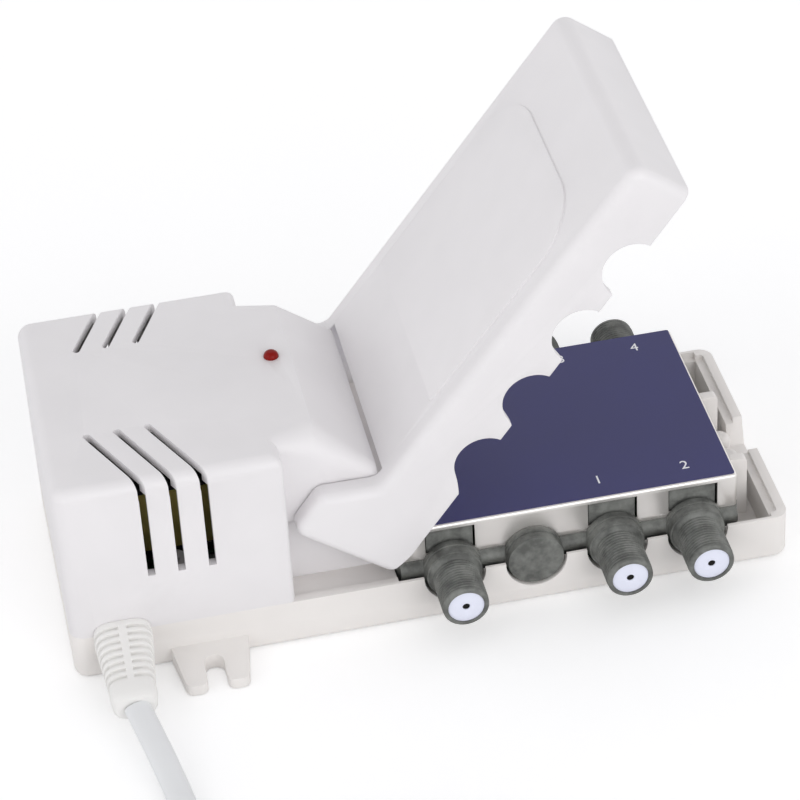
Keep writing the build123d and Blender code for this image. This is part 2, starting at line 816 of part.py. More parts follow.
sink_left = block_right - wall
core_left = left + core_offset
core_right = sink_left - regulator_body - fit_clearance
core_length = core_right - core_left
core_limb = core_length * core_limb_share
fuse_y = front + board_inset + fuse_inset
fuse_back = fuse_y + fuse_radius + fuse_cap_wall
diode_y = back - board_inset - diode_inset
core_front = fuse_back + core_front_gap + winding_overhang
core_back = diode_y - diode_length / 2 - core_back_gap
core_middle = (core_left + core_right) / 2
core_top = board_top + core_height
with BuildPart() as transformer_core:
    box_between((core_left, core_front, board_top), (core_right, core_back, core_top))
    core_window = core_length / 2 - 2 * core_limb
    for window_left in (core_left + core_limb, core_middle + core_limb):
        box_between((window_left, core_front - overrun, board_top + core_limb),
                    (window_left + core_window, core_back + overrun, core_top - core_limb),
                    mode=Mode.SUBTRACT)
finish(transformer_core, "transformer_core")

winding_half = core_length / 2 - core_limb - winding_gap
winding_base = board_top + core_limb
winding_top = core_top - core_limb
bobbin_half = core_limb + bobbin_wall
with BuildPart() as transformer_bobbin:
    box_between((core_middle - bobbin_half, core_front - bobbin_wall, winding_base),
                (core_middle + bobbin_half, core_back + bobbin_wall, winding_top))
    for flange_base in (winding_base, winding_top - bobbin_wall):
        box_between((core_middle - winding_half, core_front - winding_overhang, flange_base),
                    (core_middle + winding_half, core_back + winding_overhang, flange_base + bobbin_wall))
    box_between((core_middle - core_limb, core_front, winding_base - overrun),
                (core_middle + core_limb, core_back, winding_top + overrun), mode=Mode.SUBTRACT)
finish(transformer_bobbin, "transformer_bobbin")

with BuildPart() as transformer_winding:
    box_between((core_middle - winding_half + winding_gap, core_front - winding_overhang + winding_gap,
                 winding_base + bobbin_wall),
                (core_middle + winding_half - winding_gap, core_back + winding_overhang - winding_gap,
                 winding_top - bobbin_wall))
    fillet(transformer_winding.edges().filter_by(Axis.Z), winding_round)
    box_between((core_middle - bobbin_half, core_front - bobbin_wall, winding_base),
                (core_middle + bobbin_half, core_back + bobbin_wall, winding_top), mode=Mode.SUBTRACT)
finish(transformer_winding, "transformer_winding")

capacitor_x = neck_right - wall - capacitor_end_gap - capacitor_radius
capacitor_y = back - board_inset - capacitor_inset - capacitor_radius
with BuildPart() as capacitors:
    with BuildSketch(Plane.XY.offset(board_top)):
        with Locations((capacitor_x, -capacitor_y), (capacitor_x, capacitor_y)):
            Circle(capacitor_radius)
    extrude(amount=capacitor_height)
    fillet(capacitors.faces().group_by(Axis.Z)[-1].edges(), can_round)
finish(capacitors, "capacitors")

# Diodes lie on their leads, which stand on the board
diode_level = board_top + diode_radius + diode_lift
with BuildPart() as diodes:
    for i in range(diode_count):
        diode_x = left + diode_first + diode_pitch * i
        with BuildSketch(Plane.XZ.offset(-diode_y + diode_length / 2)):
            with Locations((diode_x, diode_level)):
                Circle(diode_radius)
        extrude(amount=-diode_length)
        with BuildSketch(Plane.XY.offset(board_top)):
            with Locations((diode_x, diode_y)):
                Circle(wire_radius)
        extrude(amount=diode_level - board_top)
finish(diodes, "diodes")

fuse_left = left + fuse_offset - fuse_length / 2
fuse_level = board_top + fuse_radius + fuse_cap_wall
with BuildPart() as fuse_tube:
    with BuildSketch(Plane.YZ.offset(fuse_left)):
        with Locations((fuse_y, fuse_level)):
            Circle(fuse_radius)
    extrude(amount=fuse_length)
finish(fuse_tube, "fuse_tube")

with BuildPart() as fuse_caps:
    for cap_left in (fuse_left, fuse_left + fuse_length - fuse_cap):
        with BuildSketch(Plane.YZ.offset(cap_left)):
            with Locations((fuse_y, fuse_level)):
                Circle(fuse_radius + fuse_cap_wall)
                Circle(fuse_radius, mode=Mode.SUBTRACT)
        extrude(amount=fuse_cap)
finish(fuse_caps, "fuse_caps")

regulator_y = fuse_back + regulator_gap + regulator_width / 2
with BuildPart() as heat_sink:
    box_between((sink_left, regulator_y - sink_width / 2, board_top),
                (sink_left + sink_thickness, regulator_y + sink_width / 2, board_top + sink_height))
finish(heat_sink, "heat_sink")

with BuildPart() as regulator:
    box_between((sink_left - regulator_body, regulator_y - regulator_width / 2, board_top),
                (sink_left, regulator_y + regulator_width / 2, board_top + regulator_body_height))
    box_between((sink_left - regulator_tab, regulator_y - regulator_width / 2, board_top),
                (sink_left, regulator_y + regulator_width / 2, board_top + regulator_height))
finish(regulator, "regulator")

led_place = (block_right + led_offset, led_shift)
led_seat = case_height - wall
with BuildPart() as status_light:
    with BuildSketch(Plane.XY.offset(led_seat - led_flange_height)):
        with Locations(led_place):
            Circle(led_flange_radius)
    extrude(amount=led_flange_height)
    with BuildSketch(Plane.XY.offset(led_seat)):
        with Locations(led_place):
            Circle(led_radius)
    extrude(amount=case_height - led_seat + led_proud)
    fillet(status_light.faces().sort_by(Axis.Z)[-1].edges(), led_round)
finish(status_light, "status_light")

with BuildPart() as light_leads:
    with BuildSketch(Plane.XY.offset(board_top)):
        with Locations(led_place):
            with GridLocations(led_wire_spacing, 2 * led_wire_spacing, 1, 2):
                Circle(wire_radius)
    extrude(amount=led_seat - led_flange_height - board_top)
finish(light_leads, "light_leads")

# Leads inside the case: mains to the terminals, low voltage to the module
terminal_y = front + board_inset + terminal_inset
gland_inner_y = front + wall + gland_flange_thickness
with BuildPart() as terminal_block:
    box_between((lead_x - terminal_width / 2, terminal_y, board_top),
                (lead_x + terminal_width / 2, terminal_y + terminal_depth, board_top + terminal_height))
finish(terminal_block, "terminal_block")

with BuildPart() as mains_wires:
    with BuildSketch(Plane.XZ.offset(-gland_inner_y)):
        with Locations((lead_x, gland_height)):
            with GridLocations(wire_core_spacing, wire_core_spacing, 2, 1):
                Circle(wire_core_radius)
    extrude(amount=gland_inner_y - terminal_y)
finish(mains_wires, "mains_wires")

with BuildPart() as supply_wire:
    with BuildSketch(Plane.YZ.offset(module_left)):
        with Locations((0, board_top + supply_wire_radius)):
            Circle(supply_wire_radius)
    extrude(amount=-supply_wire_length)
finish(supply_wire, "supply_wire")

with BuildPart() as case_screws:
    with BuildSketch(Plane.XY.offset(screw_head_depth)):
        with Locations(*screw_places):
            Circle(screw_radius)
    extrude(amount=screw_length)
    with BuildSketch(Plane.XY.offset(screw_head_depth - screw_head_height)):
        with Locations(*screw_places):
            Circle(screw_head_radius)
    extrude(amount=screw_head_height)
    with BuildSketch(Plane.XY.offset(screw_head_depth - screw_head_height)):
        with Locations(*screw_places):
            Rectangle(screw_cross_length, screw_cross_width)
            Rectangle(screw_cross_width, screw_cross_length)
    extrude(amount=screw_cross_depth, mode=Mode.SUBTRACT)
finish(case_screws, "case_screws")

# Strain relief: outer boot, neck through the wall and flange behind it
cord_points = [Vector(left + x, front + y, z) for x, y, z in cord_route]
cord_start = cord_points[0]
cord_heading = (cord_points[1] - cord_start).normalized()
cord_across = cord_heading.cross(Vector(0, 0, 1)).normalized()
cord_end_plane = Plane(origin=cord_start, x_dir=cord_across, z_dir=cord_heading)
with BuildPart() as strain_relief:
    with BuildSketch(Plane.XZ.offset(-front)):
        with Locations((lead_x, gland_height)):
            RectangleRounded(gland_width, gland_thickness, gland_thickness * gland_round_share)
    with BuildSketch(cord_end_plane):
        RectangleRounded(gland_end_width, gland_end_thickness, gland_end_thickness * gland_round_share)
    loft()
    with BuildSketch(Plane.XZ.offset(-front)):
        with Locations((lead_x, gland_height)):
            RectangleRounded(gland_neck_width - 2 * gland_gap, gland_neck_thickness - 2 * gland_gap,
                             gland_neck_corner - gland_gap)
    extrude(amount=-(wall + gland_flange_thickness))
    with BuildSketch(Plane.XZ.offset(-front - wall)):
        with Locations((lead_x, gland_height)):
            RectangleRounded(gland_width, gland_thickness, gland_thickness * gland_round_share)
    extrude(amount=-gland_flange_thickness)
finish(strain_relief, "strain_relief")


def bend_radii(points):
    """The radius of each corner's arc, which takes a share of the shorter run beside it."""
    radii = []
    for before, corner, after in zip(points, points[1:], points[2:]):
        run_in, run_out = corner - before, after - corner
        shorter = min(run_in.length, run_out.length)
        radii.append(arc_share * shorter / tan(radians(run_in.get_angle(run_out)) / 2))
    return radii


# The free stretch of the mains lead, drawn as straight runs joined by arcs
cord_radii = bend_radii(cord_points)
with BuildPart() as mains_cord:
    with BuildLine() as cord_line:
        FilletPolyline(*cord_points, radius=cord_radii)
    with BuildSketch(cord_end_plane):
        SlotOverall(cord_width, cord_thickness)
    sweep()
finish(mains_cord, "mains_cord")

# Places of the put-away coil: a spiral wound in on the floor, a climb, and the same spiral out on top
coil_start = cord_points[-1]
coil_middle = coil_start + Vector(coil_outer_radius, 0, 0)
outward = Vector(0, -1, 0)
coil_outward = Vector(1, 0, 0)


def coil_point(quarter):
    """A point of the coil's centre line, counted in quarter turns from where the cord comes in."""
    inward = min(quarter, coil_quarter_count - quarter)
    radius = coil_outer_radius - coil_pitch * inward / 4
    climbed = min(max((quarter - coil_quarter_count / 2 + 1) / 2, 0), 1)
    angle = pi + pi / 2 * quarter
    return coil_middle + Vector(radius * cos(angle), radius * sin(angle), coil_layer * climbed)


def coil_heading(quarter):
    """The direction of the coil's centre line at a quarter turn."""
    if quarter == 0:
        return outward
    if quarter == coil_quarter_count:
        return coil_outward
    return (coil_point(quarter + coil_step_share) - coil_point(quarter - coil_step_share)).normalized()


def biarc(start, start_heading, end, end_heading):
    """Two arcs that meet in one tangent: the start, the joint and the end, with the joint's heading."""
    span = end - start
    headings = start_heading + end_heading
    ahead = span.dot(headings)
    spread = 4 - headings.dot(headings)
    reach = span.dot(span) / (ahead + (ahead**2 + spread * span.dot(span)) ** 0.5)
    first = start + start_heading * reach
    second = end - end_heading * reach
    return (start + end + (start_heading - end_heading) * reach) * 0.5, (second - first).normalized()


# The wire's end leaves the top of the coil and rises to the middle of the plug, which lies flat beside it
tail_start = coil_point(coil_quarter_count)
plug_height = plug_thickness / 2
tail_bend = Vector(tail_start.X + tail_run, tail_start.Y, plug_height)
tail_end = tail_bend + coil_outward * tail_straight
coil_stops = [(coil_point(quarter), coil_heading(quarter)) for quarter in range(coil_quarter_count + 1)]
coil_stops.append((tail_bend, coil_outward))
with BuildPart() as cord_coil:
    with BuildLine() as coil_line:
        for (here, heading), (there, there_heading) in zip(coil_stops, coil_stops[1:]):
            joint, joint_heading = biarc(here, heading, there, there_heading)
            TangentArc(here, joint, tangent=heading)
            TangentArc(joint, there, tangent=joint_heading)
        Line(tail_bend, tail_end)
    with BuildSketch(Plane(origin=coil_start, x_dir=(1, 0, 0), z_dir=outward)):
        SlotOverall(cord_width, cord_thickness)
    sweep()
finish(cord_coil, "cord_coil")

plug_back = tail_end.X
plug_front = plug_back + plug_length
with BuildPart() as plug_body:
    with BuildSketch(Plane.XY):
        with BuildLine():
            Polyline(
                (plug_back, tail_start.Y - plug_tail_width / 2),
                (plug_back + plug_shoulder, tail_start.Y - plug_width / 2),
                (plug_front, tail_start.Y - plug_width / 2),
                (plug_front, tail_start.Y + plug_width / 2),
                (plug_back + plug_shoulder, tail_start.Y + plug_width / 2),
                (plug_back, tail_start.Y + plug_tail_width / 2),
                close=True,
            )
        make_face()
    extrude(amount=plug_thickness)
    fillet(plug_body.edges().filter_by(Axis.Z), plug_round)
    fillet(plug_body.faces().filter_by(Axis.Z).edges(), plug_edge_round)
    with BuildSketch(Plane.YZ.offset(plug_front + overrun)):
        with Locations((tail_start.Y, plug_height)):
            with GridLocations(plug_pin_spacing, plug_pin_spacing, 2, 1):
                Circle(plug_pin_radius)
    extrude(amount=-(plug_pin_seat + overrun), mode=Mode.SUBTRACT)
finish(plug_body, "plug_body")

with BuildPart() as plug_pins:
    with BuildSketch(Plane.YZ.offset(plug_front - plug_pin_seat)):
        with Locations((tail_start.Y, plug_height)):
            with GridLocations(plug_pin_spacing, plug_pin_spacing, 2, 1):
                Circle(plug_pin_radius)
    extrude(amount=plug_pin_seat + plug_pin_length)
    chamfer(plug_pins.faces().group_by(Axis.X)[-1].edges(), plug_pin_tip)
finish(plug_pins, "plug_pins")

# Figures for the record: radii of the bends, lengths, volumes and the coil's least gap
corner_round = cord_thickness / 2
section_area = (cord_width - cord_thickness) * cord_thickness + pi * corner_round**2
print("bend radii", [round(radius, 1) for radius in cord_radii])
for name, piece, line in (("mains_cord", mains_cord, cord_line), ("cord_coil", cord_coil, coil_line)):
    run = sum(edge.length for edge in line.line.edges())
    print(name, "length", round(run, 1), "volume", round(piece.part.volume), "section times length",
          round(section_area * run))
samples = [coil_point(i * coil_sample_share) for i in range(int(coil_quarter_count / coil_sample_share) + 1)]
lap = round(2 / coil_sample_share)
gaps = []
for i, here in enumerate(samples):
    for there in samples[i + lap:]:
        apart = there - here
        level_gap = max(hypot(apart.X, apart.Y) - cord_width + cord_thickness, 0)
        gaps.append(hypot(level_gap, apart.Z) - cord_thickness)
print("coil's least gap to itself", round(min(gaps), 2))
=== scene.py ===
"""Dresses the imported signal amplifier: threaded ports, ribbed boot, flat lead, numbers and finishes."""
import json
import logging
from dataclasses import dataclass
from enum import Enum
from math import cos, pi, radians, sin

import bmesh
import bpy
from mathutils import Matrix, Vector

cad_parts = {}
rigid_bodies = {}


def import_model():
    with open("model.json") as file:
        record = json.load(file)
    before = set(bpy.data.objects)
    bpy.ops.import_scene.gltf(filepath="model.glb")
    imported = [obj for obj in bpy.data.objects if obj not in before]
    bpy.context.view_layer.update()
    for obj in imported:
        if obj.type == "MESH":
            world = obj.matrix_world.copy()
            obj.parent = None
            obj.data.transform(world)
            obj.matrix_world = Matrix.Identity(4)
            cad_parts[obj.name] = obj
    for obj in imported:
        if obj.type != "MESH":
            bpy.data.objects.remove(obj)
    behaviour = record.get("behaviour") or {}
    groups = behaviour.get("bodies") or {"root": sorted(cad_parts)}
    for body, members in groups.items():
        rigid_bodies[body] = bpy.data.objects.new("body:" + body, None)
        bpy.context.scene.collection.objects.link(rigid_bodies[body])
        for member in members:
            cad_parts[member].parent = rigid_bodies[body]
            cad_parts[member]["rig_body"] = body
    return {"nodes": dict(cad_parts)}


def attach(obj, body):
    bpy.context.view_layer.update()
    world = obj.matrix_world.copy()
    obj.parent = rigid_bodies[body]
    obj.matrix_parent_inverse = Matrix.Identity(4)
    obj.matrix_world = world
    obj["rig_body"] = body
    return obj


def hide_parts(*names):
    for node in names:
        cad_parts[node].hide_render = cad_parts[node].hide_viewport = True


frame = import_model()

log = logging.getLogger("amplifier")

Colour = tuple[float, float, float]
Point = tuple[float, float, float]

MM = 0.001
WELD_GAP = 0.002 * MM
WHITE = (1.0, 1.0, 1.0, 1.0)

# Angles in degrees: faces that turn less are merged, edges that turn more are broken or stay sharp
FLAT_ANGLE = 0.6
EDGE_ANGLE = 32.0
ROUND_ANGLE = 40.0
DOME_ANGLE = 50.0
BEVEL_STEPS = 2


class Pattern(Enum):
    """The way a finish varies over its surface."""

    GRAIN = "moulded grain"
    CAST = "cast skin"
    BRUSHED = "rolled sheet"
    LAYERS = "stacked sheets"
    TURNS = "wound turns"
    TRACES = "circuit traces"


# The broad pattern, which tints the colour and the gloss, is this many times wider than the fine relief
BROAD_SHARE = 40.0
BROAD_SHARES = {Pattern.CAST: 9.0}
BRUSH_STRETCH = (0.03, 1.0, 1.0)
WAVE_BANDS = {Pattern.LAYERS: "Y", Pattern.TURNS: "Z"}
WAVE_WARP = 0.6
CELLS_SHARE = 6
CAST_DETAIL, GRAIN_DETAIL = 4.0, 2.0
NOISE_ROUGHNESS = 0.6
TINT_START, TINT_END = 0.36, 0.64
LEAST_ROUGHNESS = 0.02
COAT_ROUGHNESS = 0.12
RELIEF_STRENGTH = 0.5


@dataclass(frozen=True)
class Finish:
    """A surface finish made of nodes on Object coordinates."""

    name: str
    slot: str
    colour: Colour
    roughness: float = 0.45
    metallic: float = 0.0
    pattern: Pattern = Pattern.GRAIN
    grain: float = 2600.0
    mottle: float = 0.03
    polish: float = 0.06
    relief: float = 0.02 * MM
    coat: float = 0.0
    through: float = 0.0
    specular: float = 0.5

    def material(self) -> bpy.types.Material:
        """The finish's material, made once.

        Returns:
            The material with the finish's nodes.
        """
        made = bpy.data.materials.get(self.name)
        if made is not None:
            return made
        made = bpy.data.materials.new(self.name)
        made.use_nodes = True
        tree = made.node_tree
        shader = tree.nodes["Principled BSDF"]
        for socket, value in (("Metallic", self.metallic), ("Specular IOR Level", self.specular),
                              ("Coat Weight", self.coat), ("Coat Roughness", COAT_ROUGHNESS),
                              ("Transmission Weight", self.through)):
            shader.inputs[socket].default_value = value
        place = tree.nodes.new("ShaderNodeTexCoord")
        broad = self.texture(tree, place, self.grain / BROAD_SHARES.get(self.pattern, BROAD_SHARE))
        fine = self.texture(tree, place, self.grain)
        self.paint(tree, shader, broad)
        self.gloss(tree, shader, broad)
        self.skin(tree, shader, fine)
        return made

    def texture(self, tree: bpy.types.NodeTree, place: bpy.types.Node,
                scale: float) -> bpy.types.NodeSocket:
        """Adds the pattern's texture.

        Args:
            tree: The material's node tree.
            place: The node that gives Object coordinates.
            scale: Repeats of the pattern in a metre.

        Returns:
            The socket that holds the pattern's value.
        """
        source = place.outputs["Object"]
        if self.pattern is Pattern.BRUSHED:
            mapping = tree.nodes.new("ShaderNodeMapping")
            mapping.inputs["Scale"].default_value = BRUSH_STRETCH
            tree.links.new(source, mapping.inputs["Vector"])
            source = mapping.outputs["Vector"]
        if self.pattern in WAVE_BANDS:
            wave = tree.nodes.new("ShaderNodeTexWave")
            wave.bands_direction = WAVE_BANDS[self.pattern]
            wave.inputs["Scale"].default_value = scale
            wave.inputs["Distortion"].default_value = WAVE_WARP
            tree.links.new(source, wave.inputs["Vector"])
            return wave.outputs["Fac"]
        if self.pattern is Pattern.TRACES:
            cells = tree.nodes.new("ShaderNodeTexVoronoi")
            cells.distance = "CHEBYCHEV"
            cells.inputs["Scale"].default_value = scale * CELLS_SHARE
            tree.links.new(source, cells.inputs["Vector"])
            return cells.outputs["Distance"]
        noise = tree.nodes.new("ShaderNodeTexNoise")
        noise.inputs["Scale"].default_value = scale
        noise.inputs["Detail"].default_value = CAST_DETAIL if self.pattern is Pattern.CAST else GRAIN_DETAIL
        noise.inputs["Roughness"].default_value = NOISE_ROUGHNESS
        tree.links.new(source, noise.inputs["Vector"])
        return noise.outputs["Fac"]

    def paint(self, tree: bpy.types.NodeTree, shader: bpy.types.Node,
              value: bpy.types.NodeSocket) -> None:
        """Varies the colour a little from place to place.

        Args:
            tree: The material's node tree.
            shader: The shader that takes the colour.
            value: The socket with the pattern.
        """
        ramp = tree.nodes.new("ShaderNodeValToRGB")
        low, high = ramp.color_ramp.elements
        low.position, high.position = TINT_START, TINT_END
        low.color = (*(c * (1 - self.mottle) for c in self.colour), 1)
        high.color = (*(min(c * (1 + self.mottle), 1) for c in self.colour), 1)
        tree.links.new(value, ramp.inputs["Fac"])
        tree.links.new(ramp.outputs["Color"], shader.inputs["Base Color"])

    def gloss(self, tree: bpy.types.NodeTree, shader: bpy.types.Node,
              value: bpy.types.NodeSocket) -> None:
        """Varies the roughness a little from place to place.

        Args:
            tree: The material's node tree.
            shader: The shader that takes the roughness.
            value: The socket with the pattern.
        """
        span = tree.nodes.new("ShaderNodeMapRange")
        span.inputs["To Min"].default_value = max(self.roughness - self.polish, LEAST_ROUGHNESS)
        span.inputs["To Max"].default_value = min(self.roughness + self.polish, 1.0)
        tree.links.new(value, span.inputs["Value"])
        tree.links.new(span.outputs["Result"], shader.inputs["Roughness"])

    def skin(self, tree: bpy.types.NodeTree, shader: bpy.types.Node,
             value: bpy.types.NodeSocket) -> None:
        """Gives the surface its fine relief.

        Args:
            tree: The material's node tree.
            shader: The shader that takes the normal.
            value: The socket with the pattern.
        """
        bump = tree.nodes.new("ShaderNodeBump")
        bump.inputs["Strength"].default_value = RELIEF_STRENGTH
        bump.inputs["Distance"].default_value = self.relief
        tree.links.new(value, bump.inputs["Height"])
        tree.links.new(bump.outputs["Normal"], shader.inputs["Normal"])


CASE = Finish("case_moulding", "white_plastic", (0.82, 0.80, 0.81), roughness=0.42, mottle=0.012,
              relief=0.015 * MM)
TRAY = Finish("tray_moulding", "white_plastic", (0.83, 0.80, 0.775), mottle=0.014, relief=0.015 * MM)
LEAD = Finish("lead_sheath", "cord_sheath", (0.80, 0.81, 0.82), roughness=0.38, mottle=0.015,
              relief=0.01 * MM)
BOOT = Finish("boot_moulding", "white_plastic", (0.86, 0.85, 0.83), mottle=0.012)
CASTING = Finish("cast_zinc", "die_cast", (0.158, 0.163, 0.152), roughness=0.5, metallic=0.25,
                 pattern=Pattern.CAST, mottle=0.36, polish=0.14, relief=0.1 * MM)
SHEET = Finish("tinned_sheet", "tinned_steel", (0.86, 0.83, 0.80), roughness=0.34, metallic=0.8,
               pattern=Pattern.BRUSHED, grain=3000, mottle=0.05, polish=0.08, relief=0.004 * MM)
FILM = Finish("label_print", "label_film", (0.032, 0.032, 0.136), roughness=0.42, relief=0.004 * MM)
INK = Finish("label_ink", "label_film", (0.86, 0.86, 0.88), roughness=0.4, mottle=0.01, relief=0.002 * MM)
INSULATOR = Finish("port_insulator", "white_insulator", (0.78, 0.80, 0.92), roughness=0.3, mottle=0.015,
                   relief=0.004 * MM)
NICKEL = Finish("nickel_plate", "nickel", (0.66, 0.64, 0.60), roughness=0.28, metallic=1.0,
                pattern=Pattern.CAST, grain=1500, mottle=0.04, relief=0.004 * MM)
# Near black with little gloss: painted shade for the deep holes in the insulators, not the contacts' own
# colour
HOLE_SHADE_CONTACT = Finish("contact_painted_hole_shade", "contact_brass", (0.008, 0.007, 0.006), roughness=0.6,
                 pattern=Pattern.CAST, grain=1500, mottle=0.1, polish=0.1, relief=0.004 * MM, specular=0.15)
# The board's own brown, darkened further: partly painted shade for the board seen deep inside the vents;
# the module's board shares it
SHADED_BOARD = Finish("circuit_board", "circuit_board", (0.035, 0.03, 0.018), pattern=Pattern.TRACES, grain=2400,
               mottle=0.35, polish=0.1, relief=0.03 * MM)
BLACK = Finish("black_moulding", "black_plastic", (0.02, 0.02, 0.021), roughness=0.42, mottle=0.1)
FERRITE = Finish("ferrite", "ferrite", (0.03, 0.03, 0.032), roughness=0.7, pattern=Pattern.CAST,
                 mottle=0.15, polish=0.1, relief=0.03 * MM)
CAN = Finish("aluminium_can", "aluminium_can", (0.70, 0.71, 0.72), roughness=0.3, metallic=1.0,
             pattern=Pattern.BRUSHED, mottle=0.04, relief=0.003 * MM)
CORE = Finish("core_sheets", "core_steel", (0.08, 0.07, 0.065), roughness=0.5, metallic=0.7,
              pattern=Pattern.LAYERS, grain=900, mottle=0.3, polish=0.1, relief=0.06 * MM)
# The tape's own colour, darkened further: partly painted shade for the inside of the supply seen through
# the vents
SHADED_WINDING = Finish("winding_tape", "winding_tape", (0.07, 0.045, 0.02), roughness=0.4,
                 pattern=Pattern.TURNS, grain=500, mottle=0.12, polish=0.1, relief=0.05 * MM)
SLEEVE = Finish("capacitor_sleeve", "capacitor_sleeve", (0.015, 0.02, 0.07), roughness=0.3, mottle=0.05,
                coat=0.3)
GLASS = Finish("fuse_glass", "fuse_glass", (0.9, 0.93, 0.92), roughness=0.05, mottle=0.01, polish=0.02,
               relief=0.001 * MM, through=0.9)
LENS = Finish("light_lens", "red_lens", (0.24, 0.004, 0.002), roughness=0.3, mottle=0.05, polish=0.03,
              relief=0.003 * MM, specular=0.2)
WIRE = Finish("wire_insulation", "wire_insulation", (0.03, 0.06, 0.22), roughness=0.4, mottle=0.04)
SCREW = Finish("zinc_screw", "screw_steel", (0.55, 0.55, 0.53), roughness=0.35, metallic=1.0,
               pattern=Pattern.CAST, grain=1500, mottle=0.06, polish=0.08, relief=0.01 * MM)


def only(piece: bpy.types.Object) -> None:
    """Selects one object and nothing else, and makes it the active one.

    Args:
        piece: The object.
    """
    bpy.ops.object.select_all(action="DESELECT")
    piece.select_set(True)
    bpy.context.view_layer.objects.active = piece


def edit(piece: bpy.types.Object) -> None:
    """Opens one object in edit mode with nothing selected.

    Args:
        piece: The object.
    """
    only(piece)
    bpy.ops.object.mode_set(mode="EDIT")
    bpy.ops.mesh.select_mode(type="VERT")
    bpy.ops.mesh.select_all(action="DESELECT")


def leave() -> None:
    """Goes back to object mode."""
    bpy.ops.object.mode_set(mode="OBJECT")


def added(name: str, data: bpy.types.ID) -> bpy.types.Object:
    """A new object in the scene.

    Args:
        name: Its name.
        data: The mesh, curve, camera or lamp that it shows.

    Returns:
        The new object.
    """
    made = bpy.data.objects.new(name, data)
    bpy.context.scene.collection.objects.link(made)
    return made


def settle(piece: bpy.types.Object) -> None:
    """Puts an object's place, turn and scale into its mesh."""
    only(piece)
    bpy.ops.object.transform_apply(location=True, rotation=True, scale=True)


def smooth(piece: bpy.types.Object, angle: float) -> None:
    """Shades an object smooth up to an angle in degrees."""
    only(piece)
    bpy.ops.object.shade_smooth_by_angle(angle=radians(angle))


def weld() -> None:
    """Joins the doubled points of the mesh that is open in edit mode and turns its faces outwards."""
    bpy.ops.mesh.select_all(action="SELECT")
    bpy.ops.mesh.remove_doubles(threshold=WELD_GAP)
    bpy.ops.mesh.normals_make_consistent(inside=False)


def break_edges(piece: bpy.types.Object, width: float, angle: float = EDGE_ANGLE) -> None:
    """Rounds an object's edges softly.

    Args:
        piece: The object.
        width: The width of the broken edges in metres.
        angle: Edges that turn by less than this many degrees stay as they are.
    """
    bevel = piece.modifiers.new("broken_edges", "BEVEL")
    bevel.width = width
    bevel.segments = BEVEL_STEPS
    bevel.limit_method = "ANGLE"
    bevel.angle_limit = radians(angle)
    only(piece)
    bpy.ops.object.modifier_apply(modifier=bevel.name)


def dress(piece: bpy.types.Object, finish: Finish, body: str, *nodes: str) -> bpy.types.Object:
    """Gives a finished piece its material and its body, and hides the CAD nodes that it stands for.

    Args:
        piece: The finished piece.
        finish: The finish that it gets.
        body: The body that it rides on.
        nodes: The CAD nodes that it stands for.

    Returns:
        The same piece.
    """
    piece.data.materials.clear()
    piece.data.materials.append(finish.material())
    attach(piece, body)
    if nodes:
        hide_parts(*nodes)
    log.info("%s: %d faces, rides on %s", piece.name, len(piece.data.polygons), body)
    return piece


def joined(pieces: list[bpy.types.Object], name: str) -> bpy.types.Object:
    """Joins pieces into one named object.

    Args:
        pieces: The pieces, of which the first one stays.
        name: The joined object's name.

    Returns:
        The joined object.
    """
    bpy.ops.object.select_all(action="DESELECT")
    for piece in pieces:
        piece.select_set(True)
    bpy.context.view_layer.objects.active = pieces[0]
    bpy.ops.object.join()
    pieces[0].name = name
    return pieces[0]


def moulded(node: str, finish: Finish, edge: float = 0.0, angle: float = EDGE_ANGLE) -> bpy.types.Object:
    """A copy of a CAD node with clean faces and softly broken edges, which stands for it.

    Args:
        node: The CAD node.
        finish: The finish that it gets.
        edge: The width of the broken edges in metres, or 0 for none.
        angle: Edges that turn by less than this many degrees stay smooth.

    Returns:
        The dressed copy.
    """
    source = frame["nodes"][node]
    piece = added(f"{node}_surface", source.data.copy())
    edit(piece)
    bpy.ops.mesh.select_all(action="SELECT")
    bpy.ops.mesh.remove_doubles(threshold=WELD_GAP)
    bpy.ops.mesh.dissolve_limited(angle_limit=radians(FLAT_ANGLE))
    leave()
    if edge > 0:
        break_edges(piece, edge, angle)
    smooth(piece, angle)
    return dress(piece, finish, source["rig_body"], node)


@dataclass
class Case:
    """The white mouldings, tray, power block and lid, with the light and the screws."""

    tray_edge: float = 0.25 * MM
    block_edge: float = 0.2 * MM
    lid_edge: float = 0.25 * MM
    screw_edge: float = 0.08 * MM

    def build(self) -> None:
        """Dresses the three mouldings, the light and the screws."""
        moulded("base_tray", TRAY, self.tray_edge)
        moulded("power_housing", CASE, self.block_edge)
        moulded("lid", CASE, self.lid_edge)
        moulded("status_light", LENS, angle=DOME_ANGLE)
        moulded("case_screws", SCREW, self.screw_edge)


